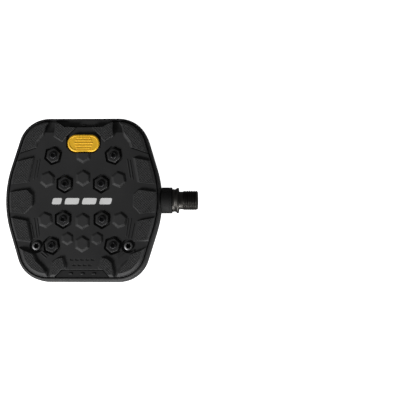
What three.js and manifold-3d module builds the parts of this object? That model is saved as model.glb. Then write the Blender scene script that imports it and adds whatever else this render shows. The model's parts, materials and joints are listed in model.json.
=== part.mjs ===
// Flat bicycle pedal, left side: a forged spindle that screws into the crank, and a composite
// platform that turns on it, with a screwed-on rubber tread pad on each face.
// Millimetres, +Z up. The origin is on the spindle's axis, on the shoulder that meets the crank.
// +X runs along the spindle towards the crank and +Y is the platform's front edge.

import * as THREE from 'three';
import { mergeVertices } from 'three/addons/utils/BufferGeometryUtils.js';
import Module from 'manifold-3d';

const wasm = await Module();
wasm.setup();

// ---- driving dimensions ----------------------------------------------------------------------

const GAP = 0.3;                       // clearance between fixed neighbours

// platform plan, measured from the platform's centre
const PLATFORM_X = -67.6;              // platform centre along the spindle
const HALF_WIDTH = 55.6;               // along X, at the spindle's axis
const HALF_LENGTH = 58.2;              // along Y, at the flat ends
const SIDE_RADIUS = 78;                // the bowed middle of each side
const SIDE_SLANT = THREE.MathUtils.degToRad(17);            // of the straights either side of it
const CORNER_RADIUS = 22;

// heights above the spindle's axis; the lower face repeats them downwards
const WEB_Z = 1.2;                     // half the thickness of the platform's central web
const DECK_Z = 7.3;                    // top of the ribs, under the pad
const LAND_Z = 8.2;                    // bare body showing in the pad's end notches
const RIM_Z = 9;
const FIELD_Z = 10;                    // plain surface of the pad
const LUG_Z = 11.8;
const BOSS_Z = 11.5;                   // hexagonal stud bosses, where the grip pins sit
const PIN_Z = 12.5;                    // highest point of the pedal

const RIM_WIDTH = 2;
const RIM_CHAMFER = 0.8;
const PAD_INSET = 2.8;                 // leaves a 0.8 mm groove between the rim and the pad
const WALL = 2.8;                      // side wall below the rim
const RIB = 1.8;
const RIB_X = [0, 13.9, 27.8, 41.7];   // ribs that run along Y, on both sides of the centre
const RIB_Y = 22.3;                    // ribs that run along X, on both sides of the spindle
const COLUMN = { width: 10.8, height: 13.6 };               // under the stud bosses of both faces
const COLUMNS = [[21.7, 32.1, 0], [13.4, 12.65, 0]];
const SCREW_COLUMN_RADIUS = 4.6;

// notches in the pad's front and rear ends, each a trapezoid that opens outwards
const FRONT_NOTCH = { half: 13.7, edge: 51.6 };
const REAR_NOTCH = { half: 14.8, edge: 50.1 };
const NOTCH_OUTER_HALF = 19.5;         // at the pad's outer edge
const PIPS = { pitch: 8.2, y: 52.9, width: 2.6, length: 1.3, height: 0.7 };

// stud bosses and plain tread hexagons: [x, y, lean in degrees], repeated at -x
const STUD = { width: 8.8, height: 10.8, chamfer: 0.8 };
const STUD_HOLE = { width: 11.4, height: 13.8 };
const STUDS = [[21.6, 31.2, 11], [13, 10.9, 0], [13.8, -14.4, 0], [21.8, -33, -11]];
const TREAD_HEX = { width: 9.6, height: 11.8, top: 11.3, chamfer: 0.7 };
const TREAD_HEXES = [[25.4, 14.1, 10], [26.5, -14.9, -10]];
const MIDDLE_HEXES = [[0, 31.5, 0], [0, 15, 0], [0, -15.8, 0], [0, -31.9, 0]];
const SMALL_HEX = { width: 7.7, height: 9.1, top: 11, chamfer: 0.6 };
const SMALL_HEXES = [[10.6, -28.1, 0]];

// raised tread lugs on the -X side, repeated at +X and trimmed to the pad's edge
const EDGE = 62;                       // well outside the platform
const LUGS = [
  [[-24.8, EDGE], [-24.8, 54.4], [-26.2, 52.5], [-26.7, 48.6], [-28.2, 45.8], [-32.9, 40.5],
    [-33.4, 36.2], [-EDGE, 26.8], [-EDGE, EDGE]],
  [[-46.1, 26.9], [-35.9, 29], [-39.3, 11.6], [-EDGE, 9.4], [-EDGE, 23.5]],
  [[-EDGE, 3.1], [-40, 6.4], [-36.5, 2.9], [-36.3, -4.9], [-41.5, -10.4], [-EDGE, -8.1]],
  [[-EDGE, -11.6], [-40, -15.7], [-36.9, -30], [-EDGE, -27.2]],
  [[-EDGE, -32.5], [-44.9, -35.6], [-35.3, -39.3], [-33.2, -44.1], [-28.4, -48.7], [-25.8, -53],
    [-25.8, -EDGE], [-EDGE, -EDGE]],
  [[-17.7, -42.7], [-14.4, -41.9], [-12.2, -48.6], [-18, -EDGE], [-21.9, -EDGE], [-21.4, -50],
    [-20.6, -45]],
];
const FRONT_LUG = [[-20.1, EDGE], [-9, EDGE], [-6.4, 50.1], [-12.3, 44.8], [-15.2, 41.6],
  [-21, 45.2], [-20.1, 50]];
const LUG_CHAMFER = 0.8;
const EDGE_SLOPE = 1.6;                // width and height of the slope along the pad's edge

const BADGE = {
  length: 22.8, width: 12.7, y: 40, floor: 8.5, top: 10.7, groove: 0.7,
  rib: { reach: 6, half: 0.6, pitch: 3, height: 0.3 },
};
const BADGE_RECESS = [[12.3, 40], [12.3, 44.8], [6.4, 50.1], [-6.4, 50.1], [-12.3, 44.8], [-12.3, 40]];
const PAD_SCREW = {
  x: 32.7, y: -33.4, head: 3.25, shank: 1.95, recess: 1.7, headFloor: 8.7, headTop: 10.5,
};
const COUNTERBORE = { radius: 4.7, floor: 8.4 };
const INSERT = { radius: 2.9, bottom: 0.8, top: 7 };
const GRIP_PIN = { radius: 2.6, socket: 1.45, bottom: 4.5, chamfer: 0.6 };

// spindle and bearings along the axis
const THREAD = { radius: 7.145, start: 3.4, end: 13.6 };    // 9/16 inch, left-hand
const RELIEF_RADIUS = 6.35;
const FLANGE = { radius: 9.15, thickness: 1.6 };
const COLLAR = { radius: 8.2, end: -4.4 };
const JOURNAL = { radius: 6, end: -37 };
const SHAFT_END = { radius: 4.6, x: -91.7 };
const SEAT_RADIUS = 3.45;
const NUT_THREAD = { radius: 3, end: -104.5 };
const KEY_SOCKET = { acrossFlats: 8, depth: 9 };
const SLEEVE = { radius: 9.3, threadRadius: 7.5, bore: 6.3, outer: -4.7, shoulder: -12.2, inner: -20.1 };
const SEAL = { radius: 7.8, bore: 6.08, outer: -5.3, inner: -8.5 };
const BORE = { radius: 7.2, nutRadius: 6.3, seat: -97.5, end: -107 };
const BARREL_RADIUS = 8.8;
const BUSHING = { radius: 7, bore: 6.07, outer: -20.6, inner: -35 };
const SPACER = { bore: 6.25, inner: -91.9 };
const BEARING = {
  outer: 7, bore: 3.5, width: 5, middle: -94.7, pitch: 5.25,
  ball: 1.1, balls: 8, groove: 1.2, innerShoulder: 4.45, outerShoulder: 6.05,
};

// ---- materials -------------------------------------------------------------------------------

const finish = (color, roughness, metalness) => (
  new THREE.MeshStandardMaterial({ color, roughness, metalness })
);
const COMPOSITE = finish(0x1c1c1d, 0.6, 0);
const RUBBER = finish(0x262627, 0.8, 0);
const AMBER = finish(0xf0b43c, 0.5, 0);
const SEAL_BLACK = finish(0x1a1a1a, 0.7, 0);
const SPINDLE_STEEL = finish(0x4c4a44, 0.35, 1);
const BRIGHT_STEEL = finish(0xb9bbbd, 0.3, 1);
const DARK_STEEL = finish(0x4a4a4c, 0.35, 1);
const BUSHING_POLYMER = finish(0x6b6150, 0.6, 0);
const BRASS = finish(0xb8944a, 0.4, 1);
const ALUMINIUM = finish(0xa9abad, 0.4, 1);

// ---- solids ----------------------------------------------------------------------------------

// a closed three.js geometry as a solid, with its faces turned outwards
function solid(geometry) {
  const bare = geometry.clone();
  bare.deleteAttribute('normal');
  bare.deleteAttribute('uv');
  const merged = mergeVertices(bare, 1e-4);
  const position = merged.attributes.position.array;
  const triangles = [];
  let volume = 0;
  for (let i = 0; i < merged.index.count; i += 3) {
    const corners = [0, 1, 2].map((k) => merged.index.array[i + k]);
    if (new Set(corners).size < 3) continue;
    triangles.push(corners);
    const [a, b, c] = corners.map((k) => new THREE.Vector3().fromArray(position, 3 * k));
    volume += a.dot(b.cross(c));
  }
  if (volume < 0) triangles.forEach((corners) => corners.reverse());
  const triVerts = new Uint32Array(triangles.flat());
  return new wasm.Manifold(new wasm.Mesh({ numProp: 3, vertProperties: position, triVerts }));
}

function geometryOf(manifold) {
  const mesh = manifold.getMesh();
  const geometry = new THREE.BufferGeometry();
  geometry.setAttribute('position', new THREE.BufferAttribute(mesh.vertProperties, 3));
  geometry.setIndex(new THREE.BufferAttribute(mesh.triVerts, 1));
  return geometry;
}

// a plan shape from height z0 to z1, with both edges chamfered when chamfer is given
function upright(shape, z0, z1, chamfer = 0, curveSegments = 3) {
  const geometry = new THREE.ExtrudeGeometry(shape, {
    depth: z1 - z0 - 2 * chamfer,
    curveSegments,
    bevelEnabled: chamfer > 0,
    bevelThickness: chamfer,
    bevelSize: chamfer,
    bevelOffset: -chamfer,
    bevelSegments: 1,
  });
  geometry.translate(0, 0, z0 + chamfer);
  return solid(geometry);
}

// a solid of revolution about the X axis from [x, radius] points
function turned(profile, segments = 24) {
  const geometry = new THREE.LatheGeometry(profile.map(([x, r]) => new THREE.Vector2(r, x)), segments);
  geometry.rotateZ(-Math.PI / 2);
  return solid(geometry);
}

// a tube about the X axis between two ends
function ring(x0, x1, inner, outer) {
  return turned([[x0, inner], [x0, outer], [x1, outer], [x1, inner], [x0, inner]]);
}

function box(x0, x1, y0, y1, z0, z1) {
  const geometry = new THREE.BoxGeometry(x1 - x0, y1 - y0, z1 - z0);
  geometry.translate((x0 + x1) / 2, (y0 + y1) / 2, (z0 + z1) / 2);
  return solid(geometry);
}

const union = (solids) => solids.reduce((sum, next) => sum.add(next));

// [x, y, lean] spots, and their mirror images across the centre lines
const bothSides = (spots) => spots.flatMap(([x, y, lean]) => (
  x ? [[x, y, lean], [-x, y, -lean]] : [[x, y, lean]]
));
const frontAndRear = (spots) => spots.flatMap(([x, y, lean]) => [[x, y, lean], [x, -y, -lean]]);

// ---- plan shapes -----------------------------------------------------------------------------

function polygon(points) {
  return new THREE.Shape(points.map(([x, y]) => new THREE.Vector2(x, y)));
}

const mirrored = (points) => points.map(([x, y]) => [-x, y]).reverse();

function disc(x, y, radius) {
  return new THREE.Shape().absarc(x, y, radius, 0, 2 * Math.PI, false);
}

// a hexagon with a point at its front and rear, leaning by some degrees
function hexagon({ width, height }, [x, y, lean]) {
  const points = [[0, 0.5], [-0.5, 0.25], [-0.5, -0.25], [0, -0.5], [0.5, -0.25], [0.5, 0.25]];
  const turn = THREE.MathUtils.degToRad(lean);
  const [centre, spot] = [new THREE.Vector2(), new THREE.Vector2(x, y)];
  return new THREE.Shape(points.map(([u, v]) => (
    new THREE.Vector2(u * width, v * height).rotateAround(centre, turn).add(spot)
  )));
}

// the platform's outline, moved inwards: bowed sides, slanted straights tangent to them, round
// corners and flat ends
function outline(inset) {
  const sideX = HALF_WIDTH - SIDE_RADIUS;
  const cornerY = HALF_LENGTH - CORNER_RADIUS;
  const slantReach = sideX * Math.cos(SIDE_SLANT) + SIDE_RADIUS;
  const straightReach = slantReach - CORNER_RADIUS - cornerY * Math.sin(SIDE_SLANT);
  const cornerX = straightReach / Math.cos(SIDE_SLANT);
  const [side, corner] = [SIDE_RADIUS - inset, CORNER_RADIUS - inset];
  const shape = new THREE.Shape();
  shape.absarc(sideX, 0, side, -SIDE_SLANT, SIDE_SLANT, false);
  shape.absarc(cornerX, cornerY, corner, SIDE_SLANT, Math.PI / 2, false);
  shape.absarc(-cornerX, cornerY, corner, Math.PI / 2, Math.PI - SIDE_SLANT, false);
  shape.absarc(-sideX, 0, side, Math.PI - SIDE_SLANT, Math.PI + SIDE_SLANT, false);
  shape.absarc(-cornerX, -cornerY, corner, Math.PI + SIDE_SLANT, 1.5 * Math.PI, false);
  shape.absarc(cornerX, -cornerY, corner, 1.5 * Math.PI, 2 * Math.PI - SIDE_SLANT, false);
  return shape;
}

// the trapezoid that the pad leaves bare at one end (end is 1 at the front, -1 at the rear)
function notch(end, margin) {
  const { half, edge } = end > 0 ? FRONT_NOTCH : REAR_NOTCH;
  const flare = (NOTCH_OUTER_HALF - half) / (HALF_LENGTH - PAD_INSET - edge);
  const outer = half + flare * (EDGE - edge);
  return polygon([
    [-half + margin, end * (edge + margin)], [half - margin, end * (edge + margin)],
    [outer - margin, end * EDGE], [-outer + margin, end * EDGE],
  ]);
}

function stadium(x, y, length, width) {
  const half = (length - width) / 2;
  const shape = new THREE.Shape();
  shape.absarc(x + half, y, width / 2, -Math.PI / 2, Math.PI / 2, false);
  shape.absarc(x - half, y, width / 2, Math.PI / 2, 1.5 * Math.PI, false);
  return shape;
}

// ---- the assembly ----------------------------------------------------------------------------

const pedal = new THREE.Group();
const platform = new THREE.Group();
platform.position.x = PLATFORM_X;
const topFace = new THREE.Group();
const bottomFace = new THREE.Group();
bottomFace.rotation.x = Math.PI;
platform.add(topFace, bottomFace);
pedal.add(platform);

function addPart(group, name, manifold, material) {
  const mesh = new THREE.Mesh(geometryOf(manifold), material);
  mesh.name = name;
  group.add(mesh);
}

// turns a solid made for the top face over to the bottom face
const overturned = (manifold) => manifold.rotate([180, 0, 0]);

// moves a solid made about the spindle's origin to the platform's centre
const fromSpindle = (manifold) => manifold.translate([-PLATFORM_X, 0, 0]);

// ---- platform body ---------------------------------------------------------------------------

const studSpots = bothSides(STUDS);
const screwSpots = bothSides([[PAD_SCREW.x, PAD_SCREW.y, 0]]);
const barrel = turned([[-HALF_WIDTH + 4, 0], [-HALF_WIDTH + 4, BARREL_RADIUS],
  [HALF_WIDTH - 1, BARREL_RADIUS], [HALF_WIDTH - 1, 0]]);

// what the pockets of one face leave standing: ribs, end lands, columns and the walls of the bore
function framework() {
  const ribsAlongY = bothSides(RIB_X.map((x) => [x, 0, 0]))
    .map(([x]) => box(x - RIB / 2, x + RIB / 2, -EDGE, EDGE, 0, DECK_Z));
  const ribsAlongX = [RIB_Y, -RIB_Y].map((y) => box(-EDGE, EDGE, y - RIB / 2, y + RIB / 2, 0, DECK_Z));
  const ends = [1, -1].map((end) => upright(notch(end, -1.2), 0, DECK_Z));
  const columns = frontAndRear(bothSides(COLUMNS)).map((spot) => upright(hexagon(COLUMN, spot), 0, DECK_Z));
  const screwColumns = frontAndRear(screwSpots)
    .map(([x, y]) => upright(disc(x, y, SCREW_COLUMN_RADIUS), 0, DECK_Z));
  const boreWalls = box(-EDGE, EDGE, -BARREL_RADIUS, BARREL_RADIUS, 0, DECK_Z);
  return union([...ribsAlongY, ...ribsAlongX, ...ends, ...columns, ...screwColumns, boreWalls]);
}

// everything that is cut from one face
function faceCuts() {
  const lands = union([1, -1].map((end) => upright(notch(end, GAP), 0, LAND_Z)));
  const recess = upright(outline(RIM_WIDTH), DECK_Z, RIM_Z + 1).subtract(lands).subtract(barrel);
  const pockets = upright(outline(RIM_WIDTH + WALL), WEB_Z, DECK_Z + 0.1).subtract(framework());
  const inserts = screwSpots.map(([x, y]) => (
    upright(disc(x, y, INSERT.radius + GAP), INSERT.bottom - GAP, DECK_Z + 1)
  ));
  return union([recess, pockets, ...inserts]);
}

// everything that stands on one face
function faceBosses() {
  const bosses = studSpots.map((spot) => upright(hexagon(STUD, spot), DECK_Z - 2, BOSS_Z, STUD.chamfer));
  const pips = [1, -1].flatMap((end) => [-1, 0, 1].map((step) => {
    const [x, y] = [step * PIPS.pitch, end * PIPS.y];
    const [u, v] = [PIPS.width / 2, PIPS.length / 2];
    return box(x - u, x + u, y - v, y + v, LAND_Z - 1, LAND_Z + PIPS.height);
  }));
  return union([...bosses, ...pips]);
}

function pinHoles() {
  return union(studSpots.map(([x, y]) => (
    upright(disc(x, y, GRIP_PIN.radius + GAP), GRIP_PIN.bottom - GAP, PIN_Z, 0, 5)
  )));
}

// the stepped bore that holds the bearings, closed at its outboard end
const spindleBore = turned([
  [2, 0], [2, SLEEVE.radius + 0.4], [SLEEVE.shoulder - GAP, SLEEVE.radius + 0.4],
  [SLEEVE.shoulder - GAP, SLEEVE.threadRadius + GAP], [SLEEVE.inner - GAP, SLEEVE.threadRadius + GAP],
  [SLEEVE.inner - GAP, BORE.radius], [BORE.seat, BORE.radius],
  [BORE.seat, BORE.nutRadius], [BORE.end, BORE.nutRadius], [BORE.end, 0],
]);

function platformBody() {
  const slab = upright(outline(0), -RIM_Z, RIM_Z, RIM_CHAMFER);
  const cuts = faceCuts();
  const bosses = faceBosses();
  const holes = pinHoles();
  return slab.subtract(cuts).subtract(overturned(cuts))
    .add(barrel).add(bosses).add(overturned(bosses))
    .subtract(holes).subtract(overturned(holes))
    .subtract(fromSpindle(spindleBore));
}

addPart(platform, 'platform_body', platformBody(), COMPOSITE);

// ---- tread pads, badges, screws and pins, once for each face ----------------------------------

function treadPad() {
  const sheet = box(-EDGE, EDGE, -EDGE, EDGE, DECK_Z + GAP, FIELD_Z);
  const mirroredLugs = LUGS.map(mirrored);
  const lugShapes = [...LUGS, ...mirroredLugs, FRONT_LUG, mirrored(FRONT_LUG)].map(polygon);
  const lugs = lugShapes.map((shape) => upright(shape, FIELD_Z - 1.2, LUG_Z, LUG_CHAMFER));
  const hexes = [
    ...[...bothSides(TREAD_HEXES), ...MIDDLE_HEXES].map((spot) => [TREAD_HEX, spot]),
    ...bothSides(SMALL_HEXES).map((spot) => [SMALL_HEX, spot]),
  ].map(([size, spot]) => upright(hexagon(size, spot), FIELD_Z - 1.2, size.top, size.chamfer));
  const studHoles = studSpots.map((spot) => upright(hexagon(STUD_HOLE, spot), 0, PIN_Z));
  const screwHoles = screwSpots.flatMap(([x, y]) => [
    upright(disc(x, y, COUNTERBORE.radius), COUNTERBORE.floor, PIN_Z, 0, 4),
    upright(disc(x, y, PAD_SCREW.shank + GAP), 0, PIN_Z),
  ]);
  const { length, width, y, floor, groove } = BADGE;
  const badgeSeat = upright(stadium(0, y, length + 2 * groove, width + 2 * groove), floor, PIN_Z, 0, 4)
    .add(upright(polygon(BADGE_RECESS), floor, PIN_Z));
  const ends = [1, -1].map((end) => upright(notch(end, 0), 0, PIN_Z));
  const roomRadius = BARREL_RADIUS + GAP;
  const barrelRoom = turned([[-EDGE, 0], [-EDGE, roomRadius], [EDGE, roomRadius], [EDGE, 0]]);
  return union([sheet, ...lugs, ...hexes])
    .intersect(upright(outline(PAD_INSET), 0, LUG_Z, EDGE_SLOPE))
    .subtract(union([...studHoles, ...screwHoles, badgeSeat, ...ends]))
    .subtract(barrelRoom);
}

function badge() {
  const { length, width, y, floor, top, rib } = BADGE;
  const plate = upright(stadium(0, y, length, width), floor + GAP, top, 0.5, 4);
  const ribs = [-1, 0, 1].map((step) => {
    const middle = y + step * rib.pitch;
    return box(-rib.reach, rib.reach, middle - rib.half, middle + rib.half, top - 0.5, top + rib.height);
  });
  return union([plate, ...ribs]);
}

// a six-lobed drive recess
function lobedRecess(x, y, radius) {
  const points = [];
  for (let i = 0; i < 12; i += 1) {
    const r = i % 2 ? radius * 0.74 : radius;
    points.push([x + r * Math.cos((i * Math.PI) / 6), y + r * Math.sin((i * Math.PI) / 6)]);
  }
  return polygon(points);
}

function padScrew([x, y]) {
  const { head, shank, recess, headFloor, headTop } = PAD_SCREW;
  return upright(disc(x, y, head), headFloor, headTop, 0.4, 5)
    .add(upright(disc(x, y, shank), INSERT.bottom + 0.5, headFloor + 0.6))
    .subtract(upright(lobedRecess(x, y, recess), headTop - 1.1, headTop + 1));
}

function padInsert([x, y]) {
  const { radius, bottom, top } = INSERT;
  return upright(disc(x, y, radius), bottom, top)
    .subtract(upright(disc(x, y, PAD_SCREW.shank + 0.12), bottom - 1, top + 1));
}

function gripPin([x, y]) {
  const { radius, socket, bottom, chamfer } = GRIP_PIN;
  const hex = { width: socket * Math.sqrt(3), height: 2 * socket };
  return upright(disc(x, y, radius), bottom, PIN_Z, chamfer, 5)
    .subtract(upright(hexagon(hex, [x, y, 0]), PIN_Z - 2.6, PIN_Z + 1));
}

for (const [face, side] of [[topFace, 'top'], [bottomFace, 'bottom']]) {
  addPart(face, `tread_pad_${side}`, treadPad(), RUBBER);
  addPart(face, `badge_${side}`, badge(), AMBER);
  screwSpots.forEach((spot, i) => {
    addPart(face, `pad_screw_${side}_${i + 1}`, padScrew(spot), BRIGHT_STEEL);
    addPart(face, `screw_insert_${side}_${i + 1}`, padInsert(spot), BRASS);
  });
  studSpots.forEach((spot, i) => addPart(face, `grip_pin_${side}_${i + 1}`, gripPin(spot), DARK_STEEL));
}

// ---- spindle ---------------------------------------------------------------------------------

// a hexagonal bar along the X axis
function hexBar(acrossFlats, x0, x1) {
  const cornerRadius = acrossFlats / Math.sqrt(3);
  const bar = new THREE.CylinderGeometry(cornerRadius, cornerRadius, x1 - x0, 6);
  bar.rotateZ(Math.PI / 2);
  bar.translate((x0 + x1) / 2, 0, 0);
  return solid(bar);
}

function spindle() {
  const neckMiddle = (COLLAR.end - FLANGE.thickness) / 2;
  const profile = [
    [THREAD.end, 0], [THREAD.end, THREAD.radius - 0.9], [THREAD.end - 0.9, THREAD.radius],
    [THREAD.start, THREAD.radius], [THREAD.start - 0.8, RELIEF_RADIUS], [0, RELIEF_RADIUS],
    [0, FLANGE.radius - 0.15], [-0.15, FLANGE.radius], [-FLANGE.thickness + 0.5, FLANGE.radius],
    [-FLANGE.thickness, FLANGE.radius - 0.5], [neckMiddle + 0.4, COLLAR.radius],
    [COLLAR.end + 0.3, COLLAR.radius], [COLLAR.end, COLLAR.radius - 0.3],
    [COLLAR.end, JOURNAL.radius], [JOURNAL.end, JOURNAL.radius],
    [JOURNAL.end - 0.8, JOURNAL.radius - 0.3],
    [SHAFT_END.x + 1, SHAFT_END.radius], [SHAFT_END.x, SHAFT_END.radius - 0.2],
    [SHAFT_END.x, SEAT_RADIUS], [BEARING.middle - BEARING.width / 2, SEAT_RADIUS],
    [BEARING.middle - BEARING.width / 2 - 0.4, NUT_THREAD.radius],
    [NUT_THREAD.end + 0.5, NUT_THREAD.radius], [NUT_THREAD.end, NUT_THREAD.radius - 0.5],
    [NUT_THREAD.end, 0],
  ];
  const { acrossFlats, depth } = KEY_SOCKET;
  return turned(profile).subtract(hexBar(acrossFlats, THREAD.end - depth, THREAD.end + 1));
}

addPart(pedal, 'spindle', spindle(), SPINDLE_STEEL);

// ---- sleeve, seal, bushing and spacer ---------------------------------------------------------

function retainingSleeve() {
  const { radius, threadRadius, bore, outer, shoulder, inner } = SLEEVE;
  const sealRoom = SEAL.radius + 0.15;
  return turned([
    [outer, sealRoom], [outer, radius - 0.8], [outer - 0.25, radius - 0.25], [outer - 0.8, radius],
    [shoulder, radius], [shoulder, threadRadius], [inner, threadRadius], [inner, bore],
    [SEAL.inner - GAP, bore], [SEAL.inner - GAP, sealRoom], [outer, sealRoom],
  ]);
}

addPart(pedal, 'retaining_sleeve', retainingSleeve(), SEAL_BLACK);
addPart(pedal, 'lip_seal', turned([
  [SEAL.outer, SEAL.bore + 0.5], [SEAL.outer, SEAL.radius], [SEAL.inner, SEAL.radius],
  [SEAL.inner, SEAL.bore + 0.7], [(SEAL.outer + SEAL.inner) / 2, SEAL.bore], [SEAL.outer, SEAL.bore + 0.5],
]), SEAL_BLACK);

const bushing = ring(BUSHING.outer, BUSHING.inner, BUSHING.bore, BUSHING.radius);
const spacer = ring(BUSHING.inner - GAP, SPACER.inner, SPACER.bore, BUSHING.radius);
addPart(pedal, 'plain_bushing', bushing, BUSHING_POLYMER);
addPart(pedal, 'spacer_tube', spacer, ALUMINIUM);

// ---- outboard ball bearing --------------------------------------------------------------------

const bearingEnds = [BEARING.middle + BEARING.width / 2, BEARING.middle - BEARING.width / 2];

// the raceway's arc between two angles, as [x, radius] points about the ball circle
function raceway(shoulderRadius, steps = 4) {
  const { middle, pitch, groove } = BEARING;
  const side = Math.sign(shoulderRadius - pitch);
  const half = Math.acos(Math.abs(shoulderRadius - pitch) / groove);
  return Array.from({ length: steps + 1 }, (_, i) => {
    const angle = half * (1 - (2 * i) / steps);
    return [middle + groove * Math.sin(angle), pitch + side * groove * Math.cos(angle)];
  });
}

function bearingRace(faceRadius, shoulderRadius) {
  const [near, far] = bearingEnds;
  return turned([
    [near, faceRadius], [near, shoulderRadius], ...raceway(shoulderRadius),
    [far, shoulderRadius], [far, faceRadius], [near, faceRadius],
  ]);
}

function ballCage() {
  const { middle, pitch, balls, ball } = BEARING;
  const band = ring(middle + 1.6, middle - 1.6, pitch - 0.35, pitch + 0.35);
  const pockets = Array.from({ length: balls }, (_, i) => {
    const pocket = new THREE.CylinderGeometry(ball + 0.2, ball + 0.2, 3, 6);
    pocket.translate(0, pitch, 0);
    pocket.rotateX((i * 2 * Math.PI) / balls);
    pocket.translate(middle, 0, 0);
    return solid(pocket);
  });
  return band.subtract(union(pockets));
}

addPart(pedal, 'bearing_inner_race', bearingRace(BEARING.bore, BEARING.innerShoulder), BRIGHT_STEEL);
addPart(pedal, 'bearing_outer_race', bearingRace(BEARING.outer, BEARING.outerShoulder), BRIGHT_STEEL);
addPart(pedal, 'ball_cage', ballCage(), BRASS);
for (let i = 0; i < BEARING.balls; i += 1) {
  const angle = (i * 2 * Math.PI) / BEARING.balls;
  const ball = new THREE.SphereGeometry(BEARING.ball, 8, 6);
  ball.translate(BEARING.middle, BEARING.pitch * Math.cos(angle), BEARING.pitch * Math.sin(angle));
  addPart(pedal, `bearing_ball_${i + 1}`, solid(ball), BRIGHT_STEEL);
}
bearingEnds.forEach((end, i) => {
  const inwards = Math.sign(BEARING.middle - end);
  const [x0, x1] = [end + 0.15 * inwards, end + 0.55 * inwards];
  const shield = ring(x0, x1, BEARING.innerShoulder + 0.3, BEARING.outerShoulder - 0.1);
  addPart(pedal, `bearing_shield_${i ? 'outboard' : 'inboard'}`, shield, SEAL_BLACK);
});

// ---- lock washer and nut ----------------------------------------------------------------------

const washerStart = bearingEnds[1] - GAP;
addPart(pedal, 'lock_washer', ring(washerStart, washerStart - 0.8, SEAT_RADIUS + 0.15, 5), BRIGHT_STEEL);

function lockNut() {
  const [start, thickness, acrossFlats] = [washerStart - 0.8 - GAP, 4.5, 9];
  return hexBar(acrossFlats, start - thickness, start).subtract(turned([
    [start + 1, 0], [start + 1, NUT_THREAD.radius + 0.15],
    [start - thickness - 1, NUT_THREAD.radius + 0.15], [start - thickness - 1, 0],
  ]));
}

addPart(pedal, 'lock_nut', lockNut(), DARK_STEEL);

export default pedal;
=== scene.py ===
import json
import math
import bmesh
import bpy
from mathutils import Matrix, Vector


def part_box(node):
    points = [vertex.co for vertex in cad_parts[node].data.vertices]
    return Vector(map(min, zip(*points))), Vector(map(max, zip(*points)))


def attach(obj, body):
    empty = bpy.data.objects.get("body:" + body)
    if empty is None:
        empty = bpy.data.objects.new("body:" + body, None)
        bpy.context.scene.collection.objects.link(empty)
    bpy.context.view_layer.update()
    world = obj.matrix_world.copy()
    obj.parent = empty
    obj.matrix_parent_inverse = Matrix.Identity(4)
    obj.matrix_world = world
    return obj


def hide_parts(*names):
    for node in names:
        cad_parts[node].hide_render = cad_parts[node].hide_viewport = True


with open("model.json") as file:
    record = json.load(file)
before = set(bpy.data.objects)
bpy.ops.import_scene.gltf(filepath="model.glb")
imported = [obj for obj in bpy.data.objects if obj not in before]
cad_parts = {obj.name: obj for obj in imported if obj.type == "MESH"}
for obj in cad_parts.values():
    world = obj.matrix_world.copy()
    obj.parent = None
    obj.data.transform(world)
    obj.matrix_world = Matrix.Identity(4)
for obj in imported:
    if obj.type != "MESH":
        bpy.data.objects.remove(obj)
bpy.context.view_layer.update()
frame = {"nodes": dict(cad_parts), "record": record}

MM = 0.001

# ---- sizes, in millimetres, measured from the platform's centre unless said otherwise ---------

BODY_LOW, BODY_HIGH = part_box("platform_body")
PLATFORM_X = (BODY_LOW[0] + BODY_HIGH[0]) / 2 / MM
HALF_WIDTH = (BODY_HIGH[0] - BODY_LOW[0]) / 2 / MM
HALF_LENGTH = (BODY_HIGH[1] - BODY_LOW[1]) / 2 / MM
SIDE_RADIUS = 78.0              # the bow of each side, up to SIDE_SLANT either way from its middle
SIDE_SLANT = math.radians(17)
CORNER_RADIUS = 22.0

DECK_Z = 7.3                    # the floor of the recess that a pad lies in
LAND_Z = 8.2                    # the bare lands at both ends
RIM_Z = 9.0
FIELD_Z = 10.0                  # the pad's plain surface
LUG_Z = 11.8
LUG_RISE = LUG_Z - FIELD_Z
LUG_FOOT_Z = 8.6                # the lugs start this low, inside the pad
CHANNEL_Z = 9.2
CUT_TOP_Z = 13.0                # above everything that a channel cuts
BOSS_Z = 11.5
PIN_Z = 12.5
FAR_Z = 20.0                    # past both faces
RIM_WIDTH = 2.0
PAD_INSET = 2.8                 # from the platform's outline to the pad's
GAP = 0.3
EDGE = 62.0                     # past the pad's outline, which cuts back whatever runs out to here
BARREL_RADIUS = 8.8             # the tube across the middle that the spindle runs in

FRONT_NOTCH = (13.7, 51.6)      # half width and inner edge
REAR_NOTCH = (14.8, 50.1)
NOTCH_OUTER_HALF = 19.5
PIPS = {"pitch": 8.2, "y": 52.9, "length": 3.0, "width": 1.5, "height": 0.7}

# sizes along X and along Y, and places as (x, y, lean in degrees)
STUD_SIZE = (8.8, 10.8)
STUD_HOLE = (11.7, 14.1)
STUDS = [(21.6, 31.2, 11), (13, 10.9, 0), (13.8, -14.4, 0), (21.8, -33, -11)]
SCREWS = [(32.7, -33.4, 0)]
LARGE_HEX = {"size": (9.6, 11.8), "top": 11.1, "slope": 1.4}
SIDE_HEXES = [(25.4, 14.1, 10), (26.5, -14.9, -10)]
MIDDLE_HEXES = [(0, 31.5, 0), (0, 15, 0), (0, -15.8, 0), (0, -31.9, 0)]
SMALL_HEX = {"size": (7.7, 9.1), "top": 10.9, "slope": 1.2}
SMALL_HEXES = [(10.6, -28.1, 0)]
SOFT_CORNER = 0.6

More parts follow.
